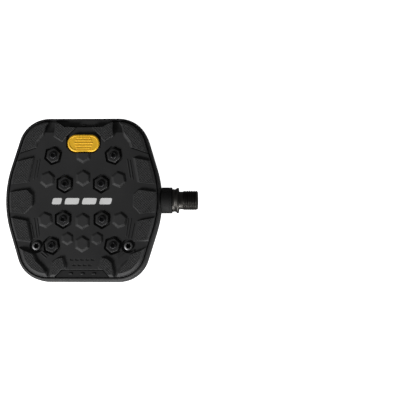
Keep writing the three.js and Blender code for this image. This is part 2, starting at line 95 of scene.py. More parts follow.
# the lugs' top outlines on the -X side: counter-clockwise corners, each with the width of the
# slope that falls away from the edge to the next corner
LUGS = {
    "front_corner": [
        (-26.4, EDGE, 0.5), (-EDGE, EDGE, 0.5), (-EDGE, 27.6, 0.15), (-35.1, 36.8, 1.5), (-34.0, 41.0, 1.5),
        (-28.8, 47.6, 0.6), (-27.9, 52.2, 0.5), (-26.0, 54.8, 0.5)],
    "front_side": [
        (-46.1, 26.9, 0.5), (-EDGE, 23.5, 0.6), (-EDGE, 9.4, 0.12), (-40.4, 11.9, 1.5), (-37.0, 29.0, 0.5)],
    "side": [
        (-40.0, 6.4, 0.5), (-EDGE, 3.1, 0.6), (-EDGE, -8.1, 0.12), (-41.5, -10.4, 0.6), (-36.3, -4.9, 0.6),
        (-36.5, 2.9, 0.8)],
    "rear_side": [(-40.0, -15.7, 0.5), (-EDGE, -11.6, 0.6), (-EDGE, -27.2, 0.12), (-36.9, -30.0, 1.1)],
    "front_inner": [
        (-20.1, EDGE, 0.5), (-20.1, 50, 0.5), (-21.0, 45.2, 0.6), (-15.2, 41.6, 0.5), (-12.3, 44.8, 0.6),
        (-6.4, 50.1, 0.6), (-9, EDGE, 0.6)],
    "rear_inner": [
        (-14.4, -41.9, 0.7), (-17.7, -42.7, 0.7), (-20.6, -45.0, 0.8), (-21.4, -50.0, 0.8),
        (-21.9, -EDGE, 0.6), (-18, -EDGE, 0.6), (-12.2, -48.6, 0.9)],
}
REAR_CORNER_LUG = [
    (-35.3, -39.3, 0.7), (-44.9, -35.6, 0.7), (-EDGE, -32.5, 0.6), (-EDGE, -EDGE, 0.6), (-25.8, -EDGE, 0.8),
    (-25.8, -53.0, 1.4), (-28.4, -48.7, 1.6), (-33.2, -44.1, 1.6)]
# a lug's side from foot to top: the share of its slope still to go, the fillet's width and the height
LUG_SIDE = [
    (1, 0.4, LUG_FOOT_Z), (1, 0.4, FIELD_Z + 0.02), (1, 0.12, FIELD_Z + 0.1), (1, 0, FIELD_Z + 0.25),
    (0.5, 0, FIELD_Z + 0.62 * LUG_RISE), (0.22, 0, FIELD_Z + 0.88 * LUG_RISE), (0, 0, LUG_Z)]
LUG_CORNER = 0.5
# channels that run out through an end: their sides along X, where they start along Y, and the
# depth of their floor at some distances from there
END_CHANNELS = [
    (-28.9, -20.4, 47.6, [(0, -0.05), (1.2, 0.7), (4, 1.8), (20, 2.1)]),
    (-27.2, -20.6, -45.5, [(0, -0.05), (3, 0.3), (8, 0.9), (20, 1.2)]),
]
CHANNEL_FLARE = 0.6
# the channel from the side to the pad screw
SCREW_CHANNEL = [(-EDGE, -27.8), (-EDGE, -32.5), (-45, -35.6), (-37.6, -37.8), (-36.9, -34), (-37.2, -30.6)]
SIPE = [(-46.5, 32.4), (-34.2, 36.6)]
SIPE_WIDTH = 0.7
RIDGES = [
    [(-31.2, 28.6), (-33.4, 14.8)], [(-33.2, 27.6), (-35.5, 13.8)],
    [(-34.6, -13.9), (-32.4, -28.0)], [(-32.4, -13.9), (-31.0, -26.6)], [(-36.7, -17.4), (-34.5, -28.2)],
    [(-29.6, -38.6), (-25.2, -42.2)], [(-28.6, -37.0), (-24.2, -40.8)],
]
RIDGE_WIDTH = 0.9
MARKS = [(x, -43.1) for x in (-7.2, -3.5, 0.2, 3.9, 7.6)] + [(x, -47.0) for x in (-5.35, -1.65, 2.05, 5.75)]
MARK_SIZE = (2.6, 1.1)
# V-grooves on the lugs' tops: above is how far over the tops their mouths lie, reach is half their
# length, spread is how far they go to each side, side_inset and corner_inset keep them off the pad's
# outline, and margin off the lugs' own edges
KNURL = {"pitch": 1.35, "depth": 0.22, "half_width": 0.38, "above": 0.08, "reach": 82, "spread": 76,
         "side_inset": 2.0, "corner_inset": 2.6, "margin": 0.2}
# the pad's outer edge as steps of (inset, height), along the sides and round the rear corners
SIDE_EDGE = [
    (0, 0), (0, 9.0), (0.1, 9.5), (0.35, 10.2), (0.75, 11.0), (1.1, 11.5), (1.6, 11.8), (2.0, 12.0),
    (2.0, 14)]
CORNER_EDGE = [
    (0, 0), (0, 9.0), (0.25, 9.5), (0.8, 10.3), (1.5, 11.1), (2.0, 11.55), (2.4, 11.8), (2.8, 11.95),
    (2.8, 14)]
# the platform's side wall, from the rim down to its middle
SIDE_WALL = [(1.75, 9.0), (1.25, 8.9), (0.75, 8.6), (0.38, 8.1), (0.14, 7.4), (0.02, 6.4), (0, 0)]

BADGE = {"length": 22.8, "width": 12.4, "y": 40.0, "floor": 8.8, "top": 10.7, "gap": 0.85}
BADGE_RIBS = {"pitch": 1.9, "length": 13.6, "shrink": 1.7, "width": 0.9}
BADGE_RECESS = [(12.3, 37), (12.3, 44.8), (6.4, 50.1), (-6.4, 50.1), (-12.3, 44.8), (-12.3, 37)]
BADGE_SEAT_Z = 8.5
PRINT_BARS = [(-22.2, -14.6), (-13.2, -2.2), (-0.8, 10.2), (11.6, 21.0)]
PRINT = {"low": -3.8, "high": 0.7, "slant": 1.1, "corner": 1.3}
SCREW_HEAD = {"radius": 3.2, "recess": 2.05, "floor": 8.3, "top": 9.9}
SCREW_SHANK = {"radius": 2.0, "hole": 2.25, "bottom": 1.3, "top": 9.2}
COUNTERBORE = {"radius": 5.0, "floor": 8.0}
INSERT_HOLE = {"radius": 3.2, "bottom": 0.5, "top": 8}
PIN = {"radius": 2.6, "hole": 2.75, "socket": 1.45, "bottom": 4.5}

# sizes along X from the crank's face, and radii from the spindle's axis
SPINDLE = {
    "thread": (3.4, 13.6, 7.145),       # start, end and crest radius
    "relief": 6.35,                     # radius of the neck behind the thread
    "flange": (9.15, 1.6),              # radius and thickness
    "collar": (8.2, -4.4),              # radius and inner end, as for the next two
    "journal": (6.0, -37.0),
    "shaft": (4.6, -91.7),
    "seat": 3.45,                       # radius inside the ball bearing
    "nut_thread": (3.0, -104.5),        # radius and outboard end
    "key": (8.0, 9.0),                  # across the flats, and depth
}
# flat is the share of half a pitch that stays flat at the crest and at the root, lead_in how far the
# thread fades past its start, and steps the number of rings in a pitch
THREAD = {"pitch": 1.27, "depth": 0.72, "flat": 0.12, "lead_in": 0.35, "steps": 10}
SLEEVE = {"radius": 9.3, "thread": 7.5, "bore": 6.3, "seal": 7.9, "outer": -4.7, "shoulder": -12.2,
          "inner": -20.1}
BORE = {"radius": 7.2, "nut": 6.3, "seat": -97.5, "end": -107.0}
BEARING_MIDDLE = -94.7
BEARING_WIDTH = 5.0
SPINDLE_SEGMENTS = 72

# ---- plan shapes --------------------------------------------------------------------------------


def arc(x, y, radius, start, end, steps):
    """Points along a circular arc from one angle to another, both ends included."""
    angles = [start + (end - start) * i / steps for i in range(steps + 1)]
    return [(x + radius * math.cos(a), y + radius * math.sin(a)) for a in angles]


def circle(x, y, radius, steps=32):
    return arc(x, y, radius, 0, 2 * math.pi * (1 - 1 / steps), steps - 1)


def stadium(x, y, length, width, steps):
    half = (length - width) / 2
    right = arc(x + half, y, width / 2, -math.pi / 2, math.pi / 2, steps)
    return right + arc(x - half, y, width / 2, math.pi / 2, 1.5 * math.pi, steps)


def strip(start, end, width):
    """A round-ended strip from one point to another, for any inset."""
    (x0, y0), (x1, y1) = start, end
    length = math.hypot(x1 - x0, y1 - y0)
    u, v = (x1 - x0) / length, (y1 - y0) / length

    def plan(inset):
        flat = stadium(0, 0, length - 2 * inset, width - 2 * inset, 5)
        return [((x0 + x1) / 2 + a * u - b * v, (y0 + y1) / 2 + a * v + b * u) for a, b in flat]
    return plan


def outline(inset):
    """The platform's outline moved inwards: bowed sides, slanted straights, round corners, flat ends."""
    side_x = HALF_WIDTH - SIDE_RADIUS
    corner_y = HALF_LENGTH - CORNER_RADIUS
    reach = side_x * math.cos(SIDE_SLANT) + SIDE_RADIUS - CORNER_RADIUS
    corner_x = (reach - corner_y * math.sin(SIDE_SLANT)) / math.cos(SIDE_SLANT)
    side, corner = SIDE_RADIUS - inset, CORNER_RADIUS - inset
    right = arc(side_x, 0, side, 0, SIDE_SLANT, 8)
    right += arc(corner_x, corner_y, corner, SIDE_SLANT, math.pi / 2, 12)
    quarter = right[1:]
    half = quarter + [(-x, y) for x, y in reversed(quarter)]
    half = [(side_x + side, 0)] + half + [(-side_x - side, 0)]
    return half + [(-x, -y) for x, y in half[1:-1]]


def pad_outline(inset):
    return outline(PAD_INSET + inset)


def polygon_offset(points, distance):
    """A counter-clockwise polygon with its edges moved inwards, all alike or each by its own distance."""
    distances = distance if isinstance(distance, list) else [distance] * len(points)
    lines = []
    for i, (x0, y0) in enumerate(points):
        x1, y1 = points[(i + 1) % len(points)]
        length = math.hypot(x1 - x0, y1 - y0)
        u, v = -(y1 - y0) / length, (x1 - x0) / length
        lines.append((u, v, u * x0 + v * y0 + distances[i]))
    moved = []
    for i, (d, e, f) in enumerate(lines):
        a, b, c = lines[i - 1]
        turn = a * e - b * d
        moved.append(((c * e - b * f) / turn, (a * f - c * d) / turn))
    return moved


def rounded(points, radius, steps=3):
    """A polygon with its corners rounded off, by less where an edge is short."""
    most = 0.42
    soft = []
    for i, corner in enumerate(points):
        corner = Vector(corner)
        before, after = Vector(points[i - 1]), Vector(points[(i + 1) % len(points)])
        start = corner + (before - corner).normalized() * min(radius, most * (before - corner).length)
        end = corner + (after - corner).normalized() * min(radius, most * (after - corner).length)
        for k in range(steps + 1):
            t = k / steps
            soft.append(tuple(start * (1 - t) ** 2 + corner * (2 * t * (1 - t)) + end * t ** 2))
    return soft


def soft_plan(points, radius=SOFT_CORNER):
    """A polygon with softened corners, for any inset."""
    return lambda inset: rounded(polygon_offset(points, inset), radius)


def hexagon(size, spot):
    """A hexagon with a point at its front and rear, leaning by some degrees."""
    x, y, lean = spot
    turn = math.radians(lean)
    cos, sin = math.cos(turn), math.sin(turn)
    corners = [(0, 0.5), (-0.5, 0.25), (-0.5, -0.25), (0, -0.5), (0.5, -0.25), (0.5, 0.25)]
    scaled = [(u * size[0], v * size[1]) for u, v in corners]
    return [(x + u * cos - v * sin, y + u * sin + v * cos) for u, v in scaled]


def notch(end, margin):
    """The trapezoid that the pad leaves bare at one end: end is 1 at the front and -1 at the rear."""
    half, edge = FRONT_NOTCH if end > 0 else REAR_NOTCH
    flare = (NOTCH_OUTER_HALF - half) / (HALF_LENGTH - PAD_INSET - edge)
    outer = half + flare * (EDGE - edge)
    points = [(half - margin, edge + margin), (outer - margin, EDGE), (-outer + margin, EDGE),
              (-half + margin, edge + margin)]
    return points if end > 0 else [(-x, -y) for x, y in points]


def badge_plan(inset):
    return stadium(0, BADGE["y"], BADGE["length"] - 2 * inset, BADGE["width"] - 2 * inset, 16)


def lobes(x, y, radius, steps=48):
    """A six-lobed recess in plan."""
    points = []
    for i in range(steps):
        a = 2 * math.pi * i / steps
        r = radius * (0.84 + 0.16 * math.cos(6 * a))
        points.append((x + r * math.cos(a), y + r * math.sin(a)))
    return points


def mirrored(points):
    return [(-x, y) for x, y in reversed(points)]


def mirrored_lug(lug):
    """The same lug on the +X side, each slope kept with its own edge."""
    return [(-lug[k][0], lug[k][1], lug[k - 1][2]) for k in reversed(range(len(lug)))]


def both_sides(spots):
    """Each place with its twin across the platform's middle, unless it is on the middle."""
    paired = []
    for x, y, lean in spots:
        paired += [(x, y, lean), (-x, y, -lean)] if x else [(x, y, lean)]
    return paired


stud_spots = both_sides(STUDS)
screw_spots = both_sides(SCREWS)

# ---- solids: lists of corner points and faces, in millimetres -----------------------------------


def loft(rings, closed=False):
    """A solid skin over rings of corner points, with flat ends unless the last ring joins the first."""
    count = len(rings[0])
    points = [p for ring in rings for p in ring]
    faces = []
    for k in range(len(rings) if closed else len(rings) - 1):
        lower, upper = k * count, (k + 1) % len(rings) * count
        for i in range(count):
            j = (i + 1) % count
            faces.append((lower + i, lower + j, upper + j, upper + i))
    if not closed:
        faces.append(tuple(reversed(range(count))))
        faces.append(tuple(range(len(points) - count, len(points))))
    return points, faces


def stacked(plan, profile):
    """A solid whose plan shape follows a profile of (inset, height) steps; plan gives it for an inset."""
    return loft([[(x, y, z) for x, y in plan(inset)] for inset, z in profile])


def prism(points, z0, z1):
    return stacked(lambda inset: points, [(0, z0), (0, z1)])


def circle_ring(x, radius, segments):
    """Points round a circle about the X axis."""
    angles = [2 * math.pi * i / segments for i in range(segments)]
    return [(x, radius * math.cos(a), radius * math.sin(a)) for a in angles]


def turned(profile, segments=64):
    """A solid of revolution about the X axis from a profile of (x, radius) steps, with flat ends."""
    return loft([circle_ring(x, radius, segments) for x, radius in profile])


def together(solids):
    """Solids that don't touch, as one."""
    points, faces = [], []
    for some_points, some_faces in solids:
        start = len(points)
        points += some_points
        faces += [tuple(start + i for i in face) for face in some_faces]
    return points, faces


def overturned(solid):
    """A solid made for the top face, turned over to the bottom face."""
    points, faces = solid
    return [(x, -y, -z) for x, y, z in points], faces


def mirrored_solid(solid):
    """The same solid on the other side of the platform's middle."""
    points, faces = solid
    return [(-x, y, z) for x, y, z in points], [tuple(reversed(face)) for face in faces]


def mesh_object(name, solid):
    mesh = bpy.data.meshes.new(name)
    mesh.from_pydata([tuple(p) for p in solid[0]], [], solid[1])
    work = bmesh.new()
    work.from_mesh(mesh)
    bmesh.ops.recalc_face_normals(work, faces=work.faces)
    work.to_mesh(mesh)
    work.free()
    made = bpy.data.objects.new(name, mesh)
    bpy.context.scene.collection.objects.link(made)
    return made


def combine(name, solid, steps):
    """A solid with others joined to it (UNION), cut from it (DIFFERENCE) or bounding it (INTERSECT)."""
    made = mesh_object(name, solid)
    tools = []
    for operation, other in steps:
        tool = other if isinstance(other, bpy.types.Object) else mesh_object("tool", other)
        tools.append(tool)
        modifier = made.modifiers.new(operation, "BOOLEAN")
        modifier.operation = operation
        modifier.solver = "MANIFOLD"
        modifier.object = tool
    bpy.context.view_layer.update()
    evaluated = made.evaluated_get(bpy.context.evaluated_depsgraph_get())
    result = bpy.data.meshes.new_from_object(evaluated)
    made.modifiers.clear()
    made.data = result
    for tool in tools:
        bpy.data.objects.remove(tool)
    return made


def combine_again(made, steps):
    """More joins or cuts on a combined object."""
    solid = ([tuple(v.co) for v in made.data.vertices], [tuple(p.vertices) for p in made.data.polygons])
    name = made.name
    bpy.data.objects.remove(made)
    return combine(name, solid, steps)


# ---- finished pieces ----------------------------------------------------------------------------

FACES = {"top": Matrix(), "bottom": Matrix.Rotation(math.pi, 4, "X")}


def finished(made, body, material, replaced=(), sharp=32, shift=0.0):
    """Puts a piece made in millimetres in its place, with its body, its material and what it replaces."""
    mesh = made.data
    mesh.transform(Matrix.Scale(MM, 4) @ Matrix.Translation((shift, 0, 0)))
    mesh.polygons.foreach_set("use_smooth", [True] * len(mesh.polygons))
    mesh.set_sharp_from_angle(angle=math.radians(sharp))
    made.modifiers.new("even_shading", "WEIGHTED_NORMAL").keep_sharp = True
    mesh.materials.clear()
    mesh.materials.append(material)
    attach(made, body)
    if replaced:
        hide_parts(*replaced)


def top_and_bottom(node, made, material):
    """A piece for each face from a top one, the second turned over about the spindle's axis."""
    under = made.copy()
    under.data = made.data.copy()
    bpy.context.scene.collection.objects.link(under)
    under.data.transform(FACES["bottom"])
    for side, piece in (("top", made), ("bottom", under)):
        piece.name = f"moulded_{node}_{side}"
        finished(piece, "platform", material, [f"{node}_{side}"], 32, PLATFORM_X)


# ---- materials ----------------------------------------------------------------------------------


class Recipe:
    """Builds one procedural material; every texture is laid out in the object's own coordinates."""

    def __init__(self, name, metallic=0.0, specular=0.5):
        self.material = bpy.data.materials.new(name)
        self.material.use_nodes = True
        self.tree = self.material.node_tree
        self.shader = self.tree.nodes["Principled BSDF"]
        self.shader.inputs["Metallic"].default_value = metallic
        self.shader.inputs["Specular IOR Level"].default_value = specular
        self.place = self.tree.nodes.new("ShaderNodeTexCoord").outputs["Object"]

    def node(self, kind, **settings):
        made = self.tree.nodes.new(kind)
        for key, value in settings.items():
            setattr(made, key, value)
        return made

    def link(self, source, target):
        self.tree.links.new(source, target)

    def noise(self, scale, detail=2.0, roughness=0.5, stretch=None):
        """Noise with a scale in patches per metre, stretched along an axis if asked."""
        made = self.node("ShaderNodeTexNoise")
        made.inputs["Scale"].default_value = scale
        made.inputs["Detail"].default_value = detail
        made.inputs["Roughness"].default_value = roughness
        if stretch:
            mapping = self.node("ShaderNodeMapping")
            mapping.inputs["Scale"].default_value = stretch
            self.link(self.place, mapping.inputs["Vector"])
            self.link(mapping.outputs["Vector"], made.inputs["Vector"])
        else:
            self.link(self.place, made.inputs["Vector"])
        return made.outputs["Fac"]

    def ramp(self, source, stops):
        made = self.node("ShaderNodeValToRGB")
        elements = made.color_ramp.elements
        while len(elements) < len(stops):
            elements.new(0.5)
        for element, (position, colour) in zip(elements, stops):
            element.position = position
            element.color = (*colour, 1)
        self.link(source, made.inputs["Fac"])
        return made.outputs["Color"]

    def between(self, source, low, high, start=0.3, end=0.7):
        made = self.node("ShaderNodeMapRange")
        for key, value in (("From Min", start), ("From Max", end), ("To Min", low), ("To Max", high)):
            made.inputs[key].default_value = value
        self.link(source, made.inputs["Value"])
        return made.outputs["Result"]

    def mixed(self, factor, first, second):
        """One colour turning into another: inputs 6 and 7 of the node are its colours, as output 2 is."""
        made = self.node("ShaderNodeMix", data_type="RGBA")
        self.link(factor, made.inputs[0])
        for socket, value in ((made.inputs[6], first), (made.inputs[7], second)):
            if isinstance(value, tuple):
                socket.default_value = (*value, 1)
            else:
                self.link(value, socket)
        return made.outputs[2]

    def height_band(self, low, high):
        """0 near the pedal's middle plane, 1 out towards both faces, turning between two heights in mm."""
        split = self.node("ShaderNodeSeparateXYZ")
        self.link(self.place, split.inputs["Vector"])
        size = self.node("ShaderNodeMath", operation="ABSOLUTE")
        self.link(split.outputs["Z"], size.inputs[0])
        return self.between(size.outputs[0], 0.0, 1.0, low * MM, high * MM)

    def times(self, first, second):
        made = self.node("ShaderNodeMath", operation="MULTIPLY")
        self.link(first, made.inputs[0])
        self.link(second, made.inputs[1])
        return made.outputs[0]

    def colour(self, source):
        self.link(source, self.shader.inputs["Base Color"])

    def roughness(self, source):
        self.link(source, self.shader.inputs["Roughness"])

    def bump(self, source, distance, strength=1.0):
        """Relief with a height in mm, laid over any given before."""
        made = self.node("ShaderNodeBump")
        made.inputs["Distance"].default_value = distance * MM
        made.inputs["Strength"].default_value = strength
        self.link(source, made.inputs["Height"])
        normal = self.shader.inputs["Normal"]
        if normal.is_linked:
            self.link(normal.links[0].from_socket, made.inputs["Normal"])
        self.link(made.outputs["Normal"], normal)


def rubber():
    recipe = Recipe("tread_rubber_moulded", specular=0.35)
    patches = recipe.noise(45, 4)
    base = recipe.ramp(patches, [(0.3, (0.0175, 0.0175, 0.018)), (0.7, (0.0215, 0.0215, 0.022))])
    speckle = recipe.between(recipe.noise(400, 3), 0.2, 0.6)
    # speckles that lighten the rubber towards the lug tops, more the higher the surface
    top_lightening = recipe.times(recipe.height_band(FIELD_Z + 0.6, LUG_Z), speckle)
    recipe.colour(recipe.mixed(top_lightening, base, (0.0375, 0.0375, 0.038)))
    recipe.roughness(recipe.between(recipe.noise(900, 3), 0.62, 0.78))
    recipe.bump(recipe.noise(2600, 2), 0.05, 0.5)
    recipe.bump(recipe.noise(160, 2), 0.12, 0.35)
    return recipe.material


def composite():
    recipe = Recipe("composite_satin", specular=0.32)
    patches = recipe.noise(60, 4)
    recipe.colour(recipe.ramp(patches, [(0.3, (0.0165, 0.0165, 0.0168)), (0.7, (0.021, 0.021, 0.0214))]))
    recipe.roughness(recipe.between(recipe.noise(700, 3), 0.48, 0.64))
    recipe.bump(recipe.noise(1800, 3), 0.04, 0.45)
    return recipe.material


def plastic(name, dark, light, rough=(0.4, 0.55), grain=1500, relief=0.03, specular=0.45):
    recipe = Recipe(name, specular=specular)
    recipe.colour(recipe.ramp(recipe.noise(120, 3), [(0.3, dark), (0.7, light)]))
    recipe.roughness(recipe.between(recipe.noise(grain * 0.6, 3), *rough))
    recipe.bump(recipe.noise(grain, 3), relief, 0.4)
    return recipe.material


# painted shade: a near-black colour for the shade inside a deep recess, mixed into metal below a given height
PAINTED_SHADE = (0.004, 0.004, 0.004)


def metal(name, dark, light, rough=(0.25, 0.4), stretch=(60, 1, 1), grain=120, shade_heights=None):
    """Metal with tool marks round the spindle's axis, unless stretch says otherwise. The last argument, if
    given, holds two heights in mm where a near-black painted shade at the bottom, standing for the shade in a
    recess, turns into plain metal."""
    recipe = Recipe(name, metallic=1.0)
    marks = recipe.noise(grain, 3, 0.6, stretch)
    surface = recipe.ramp(recipe.noise(220, 3), [(0.3, dark), (0.7, light)])
    # painted shade: near black below the lower height, plain metal above the upper one
    if shade_heights:
        surface = recipe.mixed(recipe.height_band(*shade_heights), PAINTED_SHADE, surface)
    recipe.colour(surface)
    recipe.roughness(recipe.between(marks, *rough))
    recipe.bump(marks, 0.02, 0.35)
    return recipe.material


EVEN = (1, 1, 1)                # a grain with no direction

FINISH = {
    "tread_rubber": rubber(),
    "composite": composite(),
    "amber_badge": plastic("amber_moulded", (0.90, 0.50, 0.020), (0.97, 0.57, 0.028), grain=1200),
    "pad_print": plastic("white_print", (0.76, 0.76, 0.75), (0.84, 0.84, 0.84), grain=2600, relief=0.02),
    "sleeve_black": plastic("sleeve_black", (0.008, 0.008, 0.008), (0.011, 0.011, 0.011), (0.6, 0.72),
                            grain=1200, relief=0.02, specular=0.13),
    "seal_rubber": plastic("seal_nitrile", (0.016, 0.016, 0.016), (0.024, 0.024, 0.024), (0.5, 0.65)),
    "spindle_steel": metal("spindle_plated", (0.046, 0.044, 0.041), (0.071, 0.068, 0.063), (0.38, 0.50)),
    "bright_steel": metal("steel_ground", (0.50, 0.50, 0.51), (0.64, 0.64, 0.65), (0.16, 0.28)),
    # painted shade: the screw head's socket recess and its lower sides are painted near black below the given
    # heights
    "screw_steel": metal("screw_zinc", (0.17, 0.17, 0.172), (0.24, 0.24, 0.243), (0.42, 0.56), EVEN,
                         grain=900, shade_heights=(SCREW_HEAD["top"] - 1.0, SCREW_HEAD["top"] - 0.3)),
    "pin_steel": metal("pin_oxide", (0.022, 0.022, 0.023), (0.045, 0.045, 0.047), (0.42, 0.58), EVEN,
                       grain=900),
    "bushing_polymer": plastic("bushing_moulded", (0.17, 0.14, 0.10), (0.23, 0.19, 0.14)),
    "spacer_aluminium": metal("spacer_drawn", (0.52, 0.52, 0.53), (0.64, 0.64, 0.65), (0.3, 0.42),
                              stretch=(1, 30, 30)),
    "brass": metal("brass_turned", (0.50, 0.34, 0.12), (0.62, 0.45, 0.18)),
}

# ---- tread pads ---------------------------------------------------------------------------------


def raised_hexagon(kind, spot):
    """A moulded block that rises from the pad with a fillet, a steep side and a rounded edge."""
    top, slope = kind["top"], kind["slope"]
    rise = top - FIELD_Z
    profile = [(-0.45, FIELD_Z - 0.9), (-0.45, FIELD_Z + 0.02), (-0.12, FIELD_Z + 0.12), (0, FIELD_Z + 0.3)]
    profile += [(0.55 * slope, FIELD_Z + 0.68 * rise), (0.75 * slope, FIELD_Z + 0.89 * rise), (slope, top),
                (slope + 0.2, top)]
    return stacked(soft_plan(hexagon(kind["size"], spot)), profile)


def lug_block(lug):
    """A lug with its own slope on every edge."""
    points = [(x, y) for x, y, _ in lug]
    rings = []
    for share, fillet, z in LUG_SIDE:
        moves = [-share * slope - fillet * min(1, slope) for _, _, slope in lug]
        rings.append([(x, y, z) for x, y in rounded(polygon_offset(points, moves), LUG_CORNER)])
    return loft(rings)


def ridge(start, end):
    """A thin rounded rib along the pad."""
    return stacked(strip(start, end, RIDGE_WIDTH), [
        (0, FIELD_Z - 0.5), (0, FIELD_Z + 0.02), (0.14, FIELD_Z + 0.28), (0.32, FIELD_Z + 0.38)])


def flared_hole(plan, z0):
    """A hole whose mouth opens out at the pad's surface."""
    flare = 0.22
    return stacked(plan, [(0, z0), (0, FIELD_Z - 0.5), (-flare, FIELD_Z + 0.05), (-flare, PIN_Z + 1)])


def end_channel(x0, x1, y, floor):
    """A channel that deepens on its way out through the front or the rear edge."""
    away = math.copysign(1, y)
    rings = []
    for distance, depth in floor:
        at, z = y + away * distance, FIELD_Z - depth
        rings.append([(x0 - CHANNEL_FLARE, at, CUT_TOP_Z), (x0, at, z), (x1, at, z),
                      (x1 + CHANNEL_FLARE, at, CUT_TOP_Z)])
    return loft(rings)


def screw_channel(points):
    return stacked(lambda inset: polygon_offset(points, inset), [
        (0.3, CHANNEL_Z), (0.0, CHANNEL_Z + 0.2), (-0.35, FIELD_Z - 0.15), (-CHANNEL_FLARE, FIELD_Z + 0.02),
        (-CHANNEL_FLARE, CUT_TOP_Z)])


def sipe(start, end):
    """A fine cut across a lug."""
    return prism(strip(start, end, SIPE_WIDTH)(0), FIELD_Z - 0.9, LUG_Z + 1)


def mark(x, y):
    """A short groove with round ends."""
    length, width = MARK_SIZE
    return stacked(lambda inset: stadium(x, y, length - 2 * inset, width - 2 * inset, 5), [
        (0.15, FIELD_Z - 0.45), (0, FIELD_Z - 0.3), (-0.12, FIELD_Z + 0.02), (-0.12, FIELD_Z + 1)])


def knurl_grooves(direction):
    """V-grooves across the whole pad, to be kept only on the lugs' tops."""
    grooves = []
    cos, sin = math.cos(direction), math.sin(direction)
    half, mouth = KNURL["half_width"], LUG_Z + KNURL["above"]
    count = int(KNURL["spread"] / KNURL["pitch"])
    for k in range(-count, count + 1):
        across = k * KNURL["pitch"]
        section = [(across - half, mouth), (across, LUG_Z - KNURL["depth"]), (across + half, mouth)]
        rings = []
        for along in (-KNURL["reach"], KNURL["reach"]):
            rings.append([(along * cos - a * sin, along * sin + a * cos, z) for a, z in section])
        grooves.append(loft(rings))
    return together(grooves)


def knurl_area(lugs, inset):
    """The tops of some lugs, kept clear of their edges."""
    tops = []
    for lug in lugs:
        top = polygon_offset([(x, y) for x, y, _ in lug], KNURL["margin"])
        tops.append(prism(top, LUG_Z - 1, LUG_Z + 1))
    return combine("area", together(tops), [("INTERSECT", prism(pad_outline(inset), 0, FAR_Z))])


def pad_holes():
    """All that is cut through the pad or into it, apart from its channels."""
    studs = [flared_hole(soft_plan(hexagon(STUD_HOLE, spot), 0.7), 0) for spot in stud_spots]
    bores = [flared_hole(lambda inset, x=x, y=y: circle(x, y, COUNTERBORE["radius"] - inset),
                         COUNTERBORE["floor"]) for x, y, _ in screw_spots]
    shanks = [prism(circle(x, y, SCREW_SHANK["hole"], 20), 0, RIM_Z) for x, y, _ in screw_spots]
    ends = [flared_hole(lambda inset, end=end: polygon_offset(notch(end, 0), inset), 0) for end in (1, -1)]
    return [
        flared_hole(lambda inset: badge_plan(inset - BADGE["gap"]), BADGE_SEAT_Z),
        flared_hole(lambda inset: polygon_offset(BADGE_RECESS, inset), BADGE_SEAT_Z),
        together(ends), together(studs), together(bores), together(shanks),
        together([mark(x, y) for x, y in MARKS]),
        together([sipe(*SIPE), sipe(*[(-x, y) for x, y in SIPE])]),
        turned([(-EDGE, BARREL_RADIUS + GAP), (EDGE, BARREL_RADIUS + GAP)], 48),
    ]


def tread_pad():
    """The top pad in millimetres about the platform's centre."""
    lugs = [twin for lug in LUGS.values() for twin in (lug, mirrored_lug(lug))]
    corner_lugs = [REAR_CORNER_LUG, mirrored_lug(REAR_CORNER_LUG)]
    hexes = [raised_hexagon(LARGE_HEX, spot) for spot in both_sides(SIDE_HEXES) + MIDDLE_HEXES]
    hexes += [raised_hexagon(SMALL_HEX, spot) for spot in both_sides(SMALL_HEXES)]
    ridges = []
    for start, end in RIDGES:
        ridges += [ridge(start, end), ridge((-start[0], start[1]), (-end[0], end[1]))]
    channels = [screw_channel(SCREW_CHANNEL), screw_channel(mirrored(SCREW_CHANNEL))]
    ramps = []
    for channel in END_CHANNELS:
        ramps += [end_channel(*channel), mirrored_solid(end_channel(*channel))]
    rear_lugs = combine("rear_lugs", together([lug_block(lug) for lug in corner_lugs]),
                        [("INTERSECT", stacked(pad_outline, CORNER_EDGE))])
    steps = [
        ("DIFFERENCE", together(channels)), ("DIFFERENCE", together(ramps)),
        ("UNION", together([lug_block(lug) for lug in lugs])), ("UNION", together(hexes)),
        ("UNION", together(ridges)), ("INTERSECT", stacked(pad_outline, SIDE_EDGE)), ("UNION", rear_lugs)]
    steps += [("DIFFERENCE", hole) for hole in pad_holes()]
    block = [(-EDGE, -EDGE), (EDGE, -EDGE), (EDGE, EDGE), (-EDGE, EDGE)]
    pad = combine("tread_pad", prism(block, DECK_Z + GAP, FIELD_Z), steps)
    for direction in (math.pi / 4, -math.pi / 4):
        corners = knurl_area(corner_lugs, KNURL["corner_inset"])
        area = combine_again(knurl_area(lugs, KNURL["side_inset"]), [("UNION", corners)])
        grooves = combine("grooves", knurl_grooves(direction), [("INTERSECT", area)])
        pad = combine_again(pad, [("DIFFERENCE", grooves)])
    return pad


top_and_bottom("tread_pad", tread_pad(), FINISH["tread_rubber"])

# ---- platform body ------------------------------------------------------------------------------


def land(end):
    """The bare step at one end, inside the pad's notch."""
    return stacked(lambda inset: polygon_offset(notch(end, GAP), inset),
                   [(0, DECK_Z - 1), (0, LAND_Z - 0.25), (0.25, LAND_Z)])


def boss(spot):
    """A hexagonal boss that carries a grip pin."""
    return stacked(soft_plan(hexagon(STUD_SIZE, spot)), [
        (0, DECK_Z - 1), (0, BOSS_Z - 0.6), (0.12, BOSS_Z - 0.3), (0.36, BOSS_Z - 0.06), (0.62, BOSS_Z),
        (0.85, BOSS_Z)])


def pip(x, y):
    """A small raised bar on a land."""
    return stacked(lambda inset: stadium(x, y, PIPS["length"] - 2 * inset, PIPS["width"] - 2 * inset, 6), [
        (0, LAND_Z - 0.5), (0, LAND_Z + 0.2), (0.15, LAND_Z + 0.5), (0.45, LAND_Z + PIPS["height"])])


